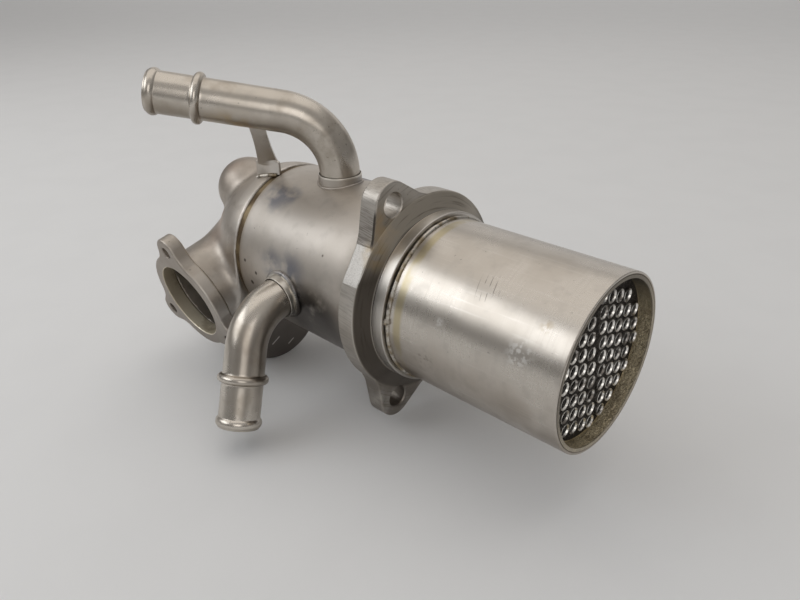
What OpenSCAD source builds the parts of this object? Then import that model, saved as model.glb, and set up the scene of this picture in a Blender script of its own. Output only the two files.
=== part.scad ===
// Round shell-and-tube gas cooler: a can full of gas tubes, a mid flange with three ears, a coolant jacket
// with two bent hose pipes, and a domed gas header with a three-eared outlet flange.
// X is the can's axis with the open end at 0, Z is up as the part lies, all sizes are in millimetres.

/* [Can] */
// Outer diameter of the can that slides into its housing
can_d = 80; // [70:0.5:90]
// Wall of the can
can_wall = 1.4; // [1:0.1:2.5]
// How far the can reaches behind the mid flange, inside the jacket
can_tail = 4; // [2:0.5:10]
// Step down from the can's pilot to its seat in the mid flange
seat_step = 0.6; // [0.5:0.05:0.7]

/* [Gas tubes] */
// Outer diameter of one gas tube
tube_d = 6; // [4.5:0.1:6.8]
// Wall of one gas tube
tube_wall = 0.5; // [0.3:0.05:0.8]
// Spacing of the tubes along a row
tube_pitch = 7.7; // [7.4:0.1:9.5]
// Spacing of the two rows on either side of the divider lane
lane_gap = 8.8; // [8:0.1:12]
// Direction of the lane in the tube plate, in degrees
lane_angle = 100.3; // [90:0.1:110]
// Shift of the first tubes along the lane
tube_shift = 1.3; // [0:0.1:4]
// Distance from the can's bore in to the outermost tubes' centres
tube_margin = 5.4; // [5:0.1:7]
// Distance of the outer rows inside the circle that holds the tubes' centres
row_inset = 2.1; // [1.5:0.1:3]
// How far the tubes stand out of the tube plates
tube_stick = 1.3; // [0.5:0.1:3]

/* [Tube plates] */
// Depth of the front tube plate behind the can's rim
recess = 6.5; // [4:0.5:15]
// Thickness of the front tube plate
front_plate_t = 2; // [1.5:0.1:4]
// Wall of the front plate's rolled rim
rim_wall = 1.5; // [1:0.1:2]
// Thickness of the rear tube plate
rear_plate_t = 4.5; // [3:0.1:8]
// Depth of the rear plate's edge below the jacket's surface
rear_plate_inset = 1.2; // [0.8:0.1:1.4]
// Thickness of the divider plate in the lane
divider_t = 1.5; // [1:0.1:2]
// Gap that the divider leaves in front for the coolant to turn
turn_gap = 25; // [15:1:40]

/* [Mid flange] */
// Distance from the can's rim to the face of the ears
ear_face = 98.7; // [80:0.1:120]
// Thickness of the flange at the ears
flange_t = 10; // [6:0.5:16]
// How far the flange's disc stands out round the can
disc_over = 10.5; // [9.5:0.1:13]
// How far the collar in front of the cone stands out round the can
collar_over = 2.5; // [2:0.1:6]
// Height of the collar and the cone in front of the ears
nose_h = 10.2; // [7:0.1:20]
// Height of the sealing cone alone
cone_h = 3.9; // [1:0.1:6]
// Ledge of the disc's face outside the cone
cone_ledge = 0.5; // [0.3:0.1:2]
// How far the centres of the ear holes lie outside the disc's edge
ear_out = 5.4; // [4:0.1:11]
// Angle of the two paired ears from the third one
ear_angle = 113.7; // [100:0.1:130]
// Outer radius of an ear
ear_r = 10.8; // [8.5:0.1:13]
// Half of the angle that an ear's root spans on the disc
ear_root_angle = 22; // [15:1:30]
// Diameter of the ear holes
ear_hole_d = 11; // [8:0.5:13]
// Chamfer of the ear holes
ear_hole_chamfer = 0.6; // [0.2:0.1:1]
// Direction of the milled flat on the disc's edge
flat_angle = 147; // [142:1:180]
// Depth of the milled flat
flat_depth = 0.8; // [0.3:0.1:1.5]

/* [Coolant jacket] */
// How far the jacket's surface stands out round the can
shell_over = 4.3; // [3.8:0.1:6]
// Wall of the jacket
shell_wall = 2; // [1.6:0.1:2.2]
// Length of the jacket behind the flange
shell_len = 84.9; // [82:0.1:110]
// Height of the drawn necks above the jacket
neck_h = 4; // [3:0.5:6]
// Lip of a neck round its pipe
neck_lip = 0.8; // [0.5:0.1:1.5]
// Fillet between a neck and the jacket
neck_fillet = 1.2; // [0.8:0.1:2]

/* [Coolant pipes] */
// Outer diameter of both coolant pipes
pipe_d = 20.6; // [16:0.1:22]
// Wall of the pipes
pipe_wall = 1.2; // [0.8:0.1:2]
// Distance of the upper pipe's root from the ears' face
upper_root = 59.8; // [56:0.1:65]
// Bend radius of the upper pipe
upper_bend_r = 32.2; // [28:0.1:38]
// Bend angle of the upper pipe
upper_bend = 80; // [75:0.1:88]
// Heading of the upper pipe after its bend
upper_heading = 224.4; // [215:0.1:230]
// Straight run of the upper pipe
upper_run = 65.1; // [58:0.1:90]
// Distance of the lower pipe's root from the ears' face
lower_root = 58.7; // [40:0.1:70]
// Direction of the lower pipe's root round the jacket
lower_angle = 186.3; // [180:0.1:200]
// Bend radius of the lower pipe
lower_bend_r = 29.5; // [26:0.1:40]
// Bend angle of the lower pipe
lower_bend = 60.6; // [45:0.1:70]
// Heading of the lower pipe after its bend
lower_heading = -76.6; // [-90:0.1:-60]
// Straight run of the lower pipe
lower_run = 39.3; // [32:0.1:45]
// Outer diameter of the hose stop bead
bead_d = 25.2; // [23:0.1:28]
// Thickness of the hose stop bead
bead_t = 4.4; // [3:0.1:6]
// Distance of the bead from the pipe's end
bead_back = 24.5; // [20:0.5:28]
// Outer diameter of the barb at the pipe's end
barb_d = 22.8; // [22.2:0.1:25]
// Thickness of the barb
barb_t = 6; // [4:0.1:8]
// Depth of the flat land on the crest of bead and barb
crest_cut = 0.2; // [0.1:0.05:0.4]

/* [Header] */
// How far the header's rim lies below the jacket's surface
hood_step = 0.3; // [0.1:0.1:0.8]
// Wall of the header
hood_wall = 2.2; // [1.5:0.1:4]
// Distance from the rear tube plate back to the widest place of the dome
hood_rim = 2; // [1:0.5:4]
// Distance of the gas port's axis behind the rear tube plate
port_back = 26.4; // [26:0.1:30]
// Direction of the gas port round the can's axis
port_angle = 194.3; // [188:0.1:200]
// Offset of the gas port's axis below the can's axis
port_drop = 10.1; // [4:0.1:12]
// Distance from the can's axis to the gas flange's face
port_reach = 65.5; // [62:0.1:80]
// Outer diameter of the outlet stub
stub_d = 51; // [49:0.5:52]
// Radius of the swelling where the outlet leaves the dome
bulb_r = 28; // [27:0.1:32]
// Distance of the swelling's centre from the can's axis
bulb_at = 14; // [10:0.5:20]
// Fillet between the swelling and the outlet stub
flare_r = 9; // [6:0.5:14]
// Radius of the rounded boss at the header's back
boss_r = 17.9; // [16:0.1:20]
// Distance of the boss's centre behind the rear tube plate
boss_back = 32; // [28:0.1:34]
// Sideways place of the boss
boss_y = -7.5; // [-10:0.1:-4]
// Height of the boss
boss_z = 26; // [24:0.1:28]
// Radius of the lower pocket of the header
pocket_r = 29.8; // [27:0.1:32]
// Distance of the pocket's centre behind the rear tube plate
pocket_back = 3; // [1:0.5:8]
// Sideways place of the pocket
pocket_y = -18; // [-22:0.1:-12]
// Height of the pocket, below the can's axis
pocket_z = -40.4; // [-44:0.1:-36]

/* [Gas flange] */
// Thickness of the gas flange
gas_t = 8; // [5:0.1:10]
// Diameter of the gas port's bore
gas_bore_d = 45.4; // [42:0.1:46]
// Diameter of the gas flange's ring
gas_ring_d = 59; // [55:0.1:62]
// Radius from the port's axis to the bolt holes
gas_reach = 33.5; // [33:0.1:38]
// Outer radius of a gas flange ear
gas_ear_r = 8.2; // [7:0.1:9]
// Diameter of the bolt holes
gas_hole_d = 6.6; // [5:0.1:8.5]
// Half of the angle that an ear's root spans on the ring
gas_root_angle = 30; // [24:1:40]

/* [Bracket] */
// Place of the bracket along the upper pipe's straight run
bracket_at = 15.5; // [14:0.1:18]
// Width of the bracket
bracket_w = 9; // [6:0.5:14]
// Thickness of the bracket
bracket_t = 2; // [1:0.1:3]
// How far the bracket's foot stands to the side of the pipe
foot_side = 20; // [17:0.5:24]
// Width of the bracket's foot
foot_w = 14; // [10:0.5:18]
// Turn of the bracket's foot from the pipe's heading
foot_turn = -20; // [-30:1:0]
// Height of the bracket's foot above the dome
foot_h = 7; // [4:0.5:10]

/* [Hidden] */
$fn = 72;

// Clearance between pieces that slide together or are welded side by side
fit = 0.05;
// Overlap that makes a cut run cleanly through a face
cut = 1;
// How deep one rounded surface is sunk into the next where they blend
bite = 0.3;
// Thinning of a pipe's wall in its bend, on each side
bend_thin = 0.05;
// Length of a pipe's straight part that runs on into the bend
lap = 0.5;
// Facets on the small round features
small_fn = 36;
// Number of tube rows on each side of the lane
rows_per_side = 5;

can_r = can_d / 2;
can_bore_r = can_r - can_wall;
seat_r = can_r - seat_step;
shell_r = can_r + shell_over;
shell_bore_r = shell_r - shell_wall;
hood_r = shell_r - hood_step;
hood_d = 2 * hood_r;
pipe_r = pipe_d / 2;
disc_r = can_r + disc_over;
ear_reach = disc_r + ear_out;
flange_back = -ear_face - flange_t;
shell_back = flange_back - shell_len;
hood_front = shell_back - rear_plate_t;
port_x = hood_front - port_back;
tube_field_r = can_bore_r - tube_margin;
row_gap = (tube_field_r - row_inset - lane_gap / 2) / (rows_per_side - 1);
tube_front = -recess + tube_stick;
tube_back = hood_front - tube_stick;

// Turns an outline drawn in Y and Z, or a revolved shape, so that it stands along X from the given place
module facing_x(x) {
    translate([x, 0, 0])
        rotate([90, 0, 90])
            children();
}

// Round bar along X between two places
module bar(x0, x1, r) {
    facing_x(min(x0, x1))
        cylinder(h = abs(x1 - x0), r = r);
}

// Turns a shape that stands along Z so that it points outward from the can's axis at the given angle
module outward(x, angle) {
    translate([x, 0, 0])
        rotate([angle - 90, 0, 0])
            children();
}

// Point where the line from a disc's edge touches an ear's circle on its outer side
function touch(edge, reach, r) =
    let (d = norm(edge - [reach, 0]), a = atan2(edge[1], edge[0] - reach) - acos(r / d))
    [reach + r * cos(a), r * sin(a)];

// Flat ear that runs from a disc's edge to a round tip on the X side
module ear_outline(root_r, root_angle, reach, r) {
    edge = root_r * [cos(root_angle), sin(root_angle)];
    tip = touch(edge, reach, r);
    root = edge + cut * (edge - tip) / norm(edge - tip);
    translate([reach, 0])
        circle(r = r);
    polygon([[0, 0], [root[0], -root[1]], [tip[0], -tip[1]], tip, root]);
}

// Tubes of one row: side is 1 or -1, row counts outward from the lane
function row_offset(row) = lane_gap / 2 + (row - 1) * row_gap;
function row_shift(row) = tube_shift + (row % 2 == 0 ? tube_pitch / 2 : 0);
function row_steps(row) = [
    for (k = [-6 : 6])
        if (norm([row_offset(row), row_shift(row) + k * tube_pitch]) <= tube_field_r)
            row_shift(row) + k * tube_pitch
];

// Places a child at each tube of a row, standing along X
module at_row(side, row, x) {
    facing_x(x)
        rotate(lane_angle)
            for (s = row_steps(row))
                translate([-s, -side * row_offset(row), 0])
                    children();
}

module at_all_tubes(x) {
    for (side = [-1, 1], row = [1 : rows_per_side])
        at_row(side, row, x)
            children();
}

module tube_row(side, row) {
    color("silver")
        at_row(side, row, tube_back)
            difference() {
                cylinder(h = tube_front - tube_back, d = tube_d, $fn = small_fn);
                translate([0, 0, -cut])
                    cylinder(h = tube_front - tube_back + 2 * cut, d = tube_d - 2 * tube_wall, $fn = small_fn);
            }
}

module tube_holes(x0, x1) {
    at_all_tubes(x0)
        cylinder(h = x1 - x0, r = tube_d / 2 + fit, $fn = small_fn);
}

module core_can() {
    color("gainsboro")
        difference() {
            union() {
                bar(-ear_face + nose_h, 0, can_r);
                bar(flange_back - can_tail, -ear_face + nose_h, seat_r);
            }
            bar(flange_back - can_tail - cut, cut, can_bore_r);
        }
}

// Pressed cup: a drilled plate with its rim turned out to the can's edge
module front_tube_plate() {
    cup_r = can_bore_r - fit;
    color("dimgray")
        difference() {
            bar(-recess - front_plate_t, 0, cup_r);
            bar(-recess, cut, cup_r - rim_wall);
            tube_holes(-recess - front_plate_t - cut, -recess + cut);
        }
}

module rear_tube_plate() {
    color("peru")
        difference() {
            bar(hood_front, shell_back, shell_r - rear_plate_inset);
            tube_holes(hood_front - cut, shell_back + cut);
        }
}

// Flat plate in the lane that sends the coolant forward on one side and back on the other
module coolant_divider() {
    front_x = -recess - front_plate_t - turn_gap;
    color("slategray")
        facing_x(shell_back)
            rotate(lane_angle)
                translate([0, 0, (front_x - shell_back) / 2])
                    cube([2 * (can_bore_r - fit) - divider_t, divider_t, front_x - shell_back], center = true);
}

module mounting_flange() {
    collar_r = can_r + collar_over;
    spigot_r = shell_bore_r - fit;
    bore_r = seat_r + fit;
    flat_half = sqrt(pow(disc_r, 2) - pow(disc_r - flat_depth, 2)) + bite;
    color("darkgray")
        difference() {
            union() {
                facing_x(flange_back) {
                    linear_extrude(flange_t) {
                        circle(r = disc_r);
                        for (a = [0, ear_angle, -ear_angle])
                            rotate(a)
                                ear_outline(disc_r, ear_root_angle, ear_reach, ear_r);
                    }
                    translate([0, 0, flange_t])
                        rotate_extrude()
                            polygon([
                                [seat_r, -flange_t / 2],
                                [disc_r - cone_ledge, -flange_t / 2],
                                [disc_r - cone_ledge, 0],
                                [collar_r, cone_h],
                                [collar_r, nose_h],
                                [seat_r, nose_h]
                            ]);
                }
                bar(flange_back - can_tail, flange_back + flange_t / 2, spigot_r);
            }
            bar(flange_back - can_tail - cut, -ear_face + nose_h + cut, bore_r);
            for (a = [0, ear_angle, -ear_angle])
                facing_x(flange_back)
                    rotate(a)
                        translate([ear_reach, 0, 0])
                            ear_hole();
            facing_x(flange_back - cut)
                rotate(flat_angle)
                    translate([disc_r - flat_depth, -flat_half, 0])
                        cube([disc_r, 2 * flat_half, flange_t + cone_h + cut]);
        }
}

module ear_hole() {
    hole_r = ear_hole_d / 2;
    mouth_r = hole_r + 2 * ear_hole_chamfer;
    translate([0, 0, -cut])
        cylinder(h = flange_t + 2 * cut, r = hole_r, $fn = small_fn);
    translate([0, 0, flange_t - 2 * ear_hole_chamfer])
        cylinder(h = 3 * ear_hole_chamfer, r1 = hole_r - ear_hole_chamfer, r2 = mouth_r, $fn = small_fn);
}

// Drawn neck of the jacket, standing along Z from inside the wall to its lip
module neck() {
    lip_r = pipe_r + fit + neck_lip;
    lip_top = shell_r + neck_h;
    rotate_extrude()
        polygon([
            [0, 0],
            [lip_r + neck_fillet, 0],
            [lip_r + neck_fillet, shell_r],
            [lip_r, shell_r + neck_fillet],
            [lip_r, lip_top],
            [0, lip_top]
        ]);
}

module coolant_shell() {
    color("lightgray")
        difference() {
            union() {
                bar(shell_back, flange_back, shell_r);
                outward(-ear_face - upper_root, 90)
                    neck();
                outward(-ear_face - lower_root, lower_angle)
                    neck();
            }
            bar(shell_back - cut, flange_back + cut, shell_bore_r);
            outward(-ear_face - upper_root, 90)
                cylinder(h = 2 * shell_r, r = pipe_r + fit);
            outward(-ear_face - lower_root, lower_angle)
                cylinder(h = 2 * shell_r, r = pipe_r + fit);
        }
}

// Hollow round section of both coolant pipes, with its wall thinned on both sides
module pipe_section(thin) {
    difference() {
        circle(r = pipe_r - thin);
        circle(r = pipe_r - pipe_wall + thin);
    }
}

// Hollow bend in the X and Z plane that starts upward at the origin and turns toward X
module bend(bend_r, angle) {
    translate([bend_r, 0, 0])
        rotate([90, 0, 0])
            rotate(180 - angle)
                rotate_extrude(angle = angle)
                    translate([bend_r, 0])
                        pipe_section(bend_thin);
}

// Carries children to the end of a bend, standing along the pipe
module after_bend(bend_r, angle) {
    translate([bend_r * (1 - cos(angle)), 0, bend_r * sin(angle)])
        rotate([0, angle, 0])
            children();
}

// Rounded ring that stands out of a pipe's wall, with a narrow flat land on its crest
module ring(outer_r, width) {
    round_r = width / 2;
    root_r = pipe_r - pipe_wall / 2;
    rotate_extrude()
        intersection() {
            translate([outer_r + crest_cut - round_r, 0])
                circle(r = round_r, $fn = small_fn);
            translate([root_r, -width])
                square([outer_r - root_r, 2 * width]);
        }
}

// Hose pipe: a straight root inside the jacket's neck, one bend, a run with a hose bead and an end barb
module hose_pipe(bend_r, angle, run) {
    rise = shell_r + neck_h - shell_bore_r;
    translate([0, 0, shell_bore_r]) {
        linear_extrude(rise + lap)
            pipe_section(0);
        translate([0, 0, rise]) {
            bend(bend_r, angle);
            after_bend(bend_r, angle) {
                translate([0, 0, -lap])
                    linear_extrude(run + lap)
                        pipe_section(0);
                translate([0, 0, run - bead_back])
                    ring(bead_d / 2, bead_t);
                translate([0, 0, run - barb_t / 2])
                    ring(barb_d / 2, barb_t);
            }
        }
    }
}

module upper_place() {
    outward(-ear_face - upper_root, 90)
        rotate(upper_heading)
            children();
}

module upper_coolant_pipe() {
    color("whitesmoke")
        upper_place()
            hose_pipe(upper_bend_r, upper_bend, upper_run);
}

module lower_coolant_pipe() {
    color("whitesmoke")
        outward(-ear_face - lower_root, lower_angle)
            rotate(lower_heading)
                hose_pipe(lower_bend_r, lower_bend, lower_run);
}

// Stands children along the gas port's axis, with zero height level with the can's axis
module port_place() {
    outward(port_x, port_angle)
        translate([0, -port_drop, 0])
            children();
}

// Keeps only what lies behind the given place on the X axis
module behind(x) {
    difference() {
        children();
        translate([x, -hood_d, -hood_d])
            cube(2 * hood_d);
    }
}

// Rounded parts of the header at the given depth below their outer surface
module dome(skin) {
    translate([hood_front - hood_rim, 0, 0])
        sphere(r = hood_r - skin);
}

module boss(skin) {
    translate([hood_front - boss_back, boss_y, boss_z])
        sphere(r = boss_r - skin);
}

module pocket(skin) {
    translate([hood_front - pocket_back, pocket_y, pocket_z])
        sphere(r = pocket_r - skin);
}

module swelling(skin) {
    port_place()
        translate([0, 0, bulb_at])
            sphere(r = bulb_r - skin);
}

// Outlet stub with the hollow fillet that leads into it from the swelling
module outlet() {
    stub_r = stub_d / 2;
    centre_r = stub_r + flare_r - bite;
    centre_d = bulb_r + flare_r - bite;
    centre_h = sqrt(pow(centre_d, 2) - pow(centre_r, 2));
    inside = (bulb_r - 2 * bite) / centre_d;
    port_place()
        translate([0, 0, bulb_at]) {
            cylinder(h = port_reach - bulb_at, r = stub_r);
            rotate_extrude()
                difference() {
                    polygon([
                        [stub_r - hood_wall, centre_h * inside],
                        [centre_r * inside, centre_h * inside],
                        [stub_r - 2 * bite, centre_h],
                        [stub_r - hood_wall, centre_h]
                    ]);
                    translate([centre_r, centre_h])
                        circle(r = flare_r);
                }
        }
}

module header_hood() {
    color("rosybrown")
        difference() {
            behind(hood_front) {
                dome(0);
                boss(0);
                pocket(0);
                swelling(0);
                outlet();
            }
            dome(hood_wall);
            boss(hood_wall);
            swelling(hood_wall);
            behind(hood_front - hood_wall)
                pocket(hood_wall);
            port_place()
                translate([0, 0, bulb_at])
                    cylinder(h = port_reach, d = gas_bore_d);
            port_place()
                translate([0, 0, port_reach - gas_t])
                    cylinder(h = hood_d, r = hood_d);
        }
}

module gas_flange() {
    color("gray")
        port_place()
            translate([0, 0, port_reach - gas_t])
                difference() {
                    linear_extrude(gas_t) {
                        circle(d = gas_ring_d);
                        gas_ears();
                    }
                    translate([0, 0, -cut])
                        cylinder(h = gas_t + 2 * cut, d = gas_bore_d);
                    for (a = [0, 120, 240])
                        rotate(a + 90)
                            translate([gas_reach, 0, -cut])
                                cylinder(h = gas_t + 2 * cut, d = gas_hole_d, $fn = small_fn);
                }
}

module gas_ears() {
    for (a = [0, 120, 240])
        rotate(a + 90)
            ear_outline(gas_ring_d / 2, gas_root_angle, gas_reach, gas_ear_r);
}

// Flat strip between two points of the drawing plane
module strip(from, to) {
    translate(from)
        rotate(atan2(to[1] - from[1], to[0] - from[0]))
            translate([0, -bracket_t / 2])
                square([norm(to - from), bracket_t]);
}

// Strap from the upper pipe's underside to a wider foot on the header's dome
module pipe_bracket() {
    along = upper_bend_r * (1 - cos(upper_bend)) + bracket_at * sin(upper_bend);
    pipe_z = shell_r + neck_h + upper_bend_r * sin(upper_bend) + bracket_at * cos(upper_bend);
    foot_x = -ear_face - upper_root + along * cos(upper_heading) + foot_side * sin(upper_heading);
    foot_y = along * sin(upper_heading) - foot_side * cos(upper_heading);
    foot_z = sqrt(pow(hood_r, 2) - pow(foot_x - hood_front + hood_rim, 2) - pow(foot_y, 2));
    knee = [-foot_side, foot_z + foot_h];
    color("darkslategray")
        difference() {
            upper_place()
                translate([along, 0, 0]) {
                    rotate([90, 0, 90])
                        translate([0, 0, -bracket_w / 2])
                            linear_extrude(bracket_w)
                                strip([0, pipe_z], knee);
                    translate([0, knee[0], knee[1] - 2 * foot_h])
                        rotate(foot_turn)
                            translate([-foot_w / 2, -bracket_t / 2, 0])
                                cube([foot_w, bracket_t, 2 * foot_h + bracket_t / 2]);
                }
            upper_place()
                translate([0, 0, shell_r + neck_h])
                    after_bend(upper_bend_r, upper_bend)
                        cylinder(h = upper_run, r = pipe_r + fit);
            dome(-fit);
            bar(hood_front, flange_back, shell_r + fit);
        }
}

core_can();
front_tube_plate();
rear_tube_plate();
coolant_divider();
mounting_flange();
coolant_shell();
upper_coolant_pipe();
lower_coolant_pipe();
header_hood();
gas_flange();
pipe_bracket();
tube_row(-1, 1);  // gas_tubes_left_1
tube_row(-1, 2);  // gas_tubes_left_2
tube_row(-1, 3);  // gas_tubes_left_3
tube_row(-1, 4);  // gas_tubes_left_4
tube_row(-1, 5);  // gas_tubes_left_5
tube_row(1, 1);  // gas_tubes_right_1
tube_row(1, 2);  // gas_tubes_right_2
tube_row(1, 3);  // gas_tubes_right_3
tube_row(1, 4);  // gas_tubes_right_4
tube_row(1, 5);  // gas_tubes_right_5
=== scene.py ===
import math

import bpy
import numpy as np
from mathutils import Matrix, Vector
from mathutils.geometry import tessellate_polygon


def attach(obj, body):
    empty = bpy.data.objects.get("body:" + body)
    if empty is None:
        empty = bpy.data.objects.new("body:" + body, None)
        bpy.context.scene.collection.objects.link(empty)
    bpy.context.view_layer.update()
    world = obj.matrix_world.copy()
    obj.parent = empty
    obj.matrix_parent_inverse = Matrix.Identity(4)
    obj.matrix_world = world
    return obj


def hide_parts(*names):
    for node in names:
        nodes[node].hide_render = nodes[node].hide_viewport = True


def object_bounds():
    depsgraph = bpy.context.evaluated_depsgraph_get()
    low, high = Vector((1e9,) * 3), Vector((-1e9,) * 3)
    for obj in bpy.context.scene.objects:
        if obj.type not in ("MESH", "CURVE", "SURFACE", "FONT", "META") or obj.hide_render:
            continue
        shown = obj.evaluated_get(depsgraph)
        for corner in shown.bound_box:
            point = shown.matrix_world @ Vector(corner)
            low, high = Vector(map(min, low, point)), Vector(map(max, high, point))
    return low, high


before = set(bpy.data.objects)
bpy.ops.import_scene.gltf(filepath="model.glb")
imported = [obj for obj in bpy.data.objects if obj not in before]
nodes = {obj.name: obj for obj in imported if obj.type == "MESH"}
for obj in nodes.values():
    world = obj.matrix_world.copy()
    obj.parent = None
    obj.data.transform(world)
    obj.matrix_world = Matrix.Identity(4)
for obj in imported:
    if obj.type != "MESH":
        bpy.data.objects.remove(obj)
cad_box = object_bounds()
scene = bpy.context.scene
MM = 0.001
rng = np.random.default_rng(11)

# Directions; the part's sizes and places are in millimetres, in the frame of the CAD source
AXIS = np.array([1.0, 0, 0])
ACROSS = np.array([0, 1.0, 0])
UP = np.array([0, 0, 1.0])

# Can and the weld round its seat
CAN_R = 40.0
SEAT_R = 39.4
CAN_BORE_R = 38.6
CAN_TAIL = -112.7
CAN_WELD_X = -87.05
CAN_WELD_R = 1.1
CAN_WELD_WANDER = 0.12
CAN_WELD_END_X = -87.3
CAN_WELD_END_R = 1.6
CAN_WELD_END_AT = math.radians(174)
CAN_WELD_END_HALF = 0.045

# Mid flange
COLLAR_FRONT = -88.5
COLLAR_BACK = -94.6
COLLAR_R = 42.5
CONE_FOOT = -95.0
CONE_FOOT_R = 42.05
CONE_R = 50.0
NOSE_SINK = 0.6
SLEEVE_R = 42.25
FLANGE_BORE_R = 39.5
EAR_FACE = -98.7
FLANGE_BACK = -108.7
FLANGE_EDGE = 0.9
DISC_R = 50.5
EAR_ANGLES = np.radians([0, 113.7, -113.7])
EAR_ROOT = math.radians(22)
EAR_REACH = 55.9
EAR_TIP_R = 10.8
EAR_HOLE_R = 5.5
EAR_CHAMFER = 0.6
PAD_ANGLE = math.radians(147)
PAD_REACH = 49.7
PAD_HALF = 9.3

# Coolant jacket and its two necks
SHELL_R = 44.3
SHELL_BORE_R = 42.3
SHELL_BACK = -193.6
NECK_FOOT = 42.5
NECK_TOP = 48.3
NECK_R = 11.15
NECK_GAP = 0.05
UPPER_WELD_R = 0.55
LOWER_WELD_R = 1.7

# Coolant pipes; the stop bead and the barb are placed back from the pipe's end
PIPE_R = 10.3
PIPE_WALL = 1.2
PIPE_TIP = 0.9
PIPE_TIP_R = 0.6
STOP_BACK = 24.5
STOP_R = 2.2
STOP_LIFT = 0.1
STOP_FOOT = 3.4
STOP_FLARE = 0.12
BARB_BACK = 3.0
BARB_R = 3.0
BARB_HALF = 2.9
BARB_CREST_R = 11.4
UPPER_X = -158.5
UPPER_BEND_R = 32.2
UPPER_BEND = math.radians(80)
UPPER_RUN = 65.1
UPPER_ANGLE = math.radians(224.4)
UPPER_HEADING = np.array([math.cos(UPPER_ANGLE), math.sin(UPPER_ANGLE), 0])
LOWER_X = -157.4
LOWER_BEND_R = 29.5
LOWER_BEND = math.radians(60.6)
LOWER_RUN = 39.3
LOWER_ANGLE = math.radians(186.3)
LOWER_DIR = np.array([0, math.cos(LOWER_ANGLE), math.sin(LOWER_ANGLE)])
LOWER_SIDE = np.array([0, math.sin(LOWER_ANGLE), -math.cos(LOWER_ANGLE)])
LOWER_TURN = math.radians(-76.6)
LOWER_HEADING = math.cos(LOWER_TURN) * AXIS + math.sin(LOWER_TURN) * LOWER_SIDE

# Header: dome, rear boss, lower pocket and outlet stub
HOOD_FRONT = -198.1
HOOD_WALL = 2.2
HOOD_BOX = ((-256, -68, -74), (-196, 47, 48))
DOME = np.array([HOOD_FRONT - 2, 0, 0])
DOME_R = 44.0
BOSS = np.array([HOOD_FRONT - 32, -7.5, 26])
BOSS_R = 17.9
POCKET = np.array([HOOD_FRONT - 3, -18, -40.4])
POCKET_R = 29.8
MOUTH_R = 41.7
MOUTH_HALF = 4
PORT_X = -224.5
PORT_DROP = 10.1
PORT_ANGLE = math.radians(194.3)
PORT_DIR = np.array([0, math.cos(PORT_ANGLE), math.sin(PORT_ANGLE)])
PORT_UP = np.array([0, math.sin(PORT_ANGLE), -math.cos(PORT_ANGLE)])
PORT_ROOT = PORT_X * AXIS - PORT_DROP * PORT_UP
PORT_REACH = 65.5
SWELL_AT = 14
SWELL_R = 28
STUB_START = 10
STUB_R = 25.5

# Gas flange and its weld
GAS_T = 8.0
GAS_R = 29.5
GAS_BORE_R = 22.7
GAS_BORE_START = 24
GAS_EDGE = 1.3
GAS_ANGLES = np.radians([90, 210, 330])
GAS_EAR_REACH = 33.5
GAS_TIP_R = 8.2
GAS_HOLE_R = 3.3
GAS_CHAMFER = 0.4
GAS_WELD_R = 1.0

# Strap; its places are measured across the upper pipe's heading and up
STRAP_BOX = ((-214, -31, 38), (-180, -5, 84))
STRAP_AT = 41.87
STRAP_TOP = np.array([0, 82.7])
STRAP_LEAN = 2.0
STRAP_HALF = 4.5
STRAP_HALF_T = 1.0
STRAP_EDGE = 0.4
STRAP_WAIST = 3.5
STRAP_TOP_FLARE = 1.6
STRAP_FOOT_FLARE = 2.0
STRAP_SIDE = np.cross(UP, UPPER_HEADING)
KNEE = np.array([-20.0, 48.3])
FOOT_TURN = math.radians(-20)
FOOT_HALF = (7.0, STRAP_HALF_T, 7.5)
FOOT_DROP = 6.5

# Gas tubes: rows on both sides of a lane
TUBE_R = 3.0
TUBE_BORE_R = 2.5
TUBE_FRONT = -5.2
TUBE_SPREAD = 0.35
TUBE_BACK = -199.4
TUBE_SEGS = 28
TUBE_PITCH = 7.7
TUBE_FIELD_R = 33.2
TUBE_ROWS = 5
FIRST_ROW = 4.4
ROW_GAP = 6.675
ROW_SHIFT = 1.3
LANE = math.radians(100.3)

# Steps to the millimetre; vertices that round to the same step are joined
JOIN_STEPS = 2000


# Distance fields take an (n, 2) or (n, 3) array in millimetres and return n distances
def smooth_min(a, b, k):
    h = np.maximum(k - np.abs(a - b), 0) / k
    return np.minimum(a, b) - h * h * k / 4


def smooth_max(a, b, k):
    return -smooth_min(-a, -b, k)


def ball(p, centre, r):
    return np.linalg.norm(p - centre, axis=1) - r


def box(q, half, edge):
    """Box with rounded edges round the origin."""
    d = np.abs(q) - np.asarray(half) + edge
    return np.linalg.norm(np.maximum(d, 0), axis=1) + np.minimum(d.max(1), 0) - edge


def along(p, base, direction):
    """Height along an axis and distance from it."""
    q = p - base
    s = q @ direction
    return s, np.linalg.norm(q - s[:, None] * direction, axis=1)


def polygon_field(q, pts):
    pts = np.asarray(pts, float)
    best = np.full(len(q), np.inf)
    inside = np.zeros(len(q), bool)
    for a, b in zip(pts, np.roll(pts, -1, axis=0)):
        e = b - a
        w = q - a
        t = np.clip((w @ e) / (e @ e), 0, 1)
        best = np.minimum(best, np.linalg.norm(w - t[:, None] * e, axis=1))
        if e[1] != 0:
            up = (a[1] <= q[:, 1]) != (b[1] <= q[:, 1])
            inside ^= up & (q[:, 0] < a[0] + (q[:, 1] - a[1]) / e[1] * e[0])
    return np.where(inside, -best, best)


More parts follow.
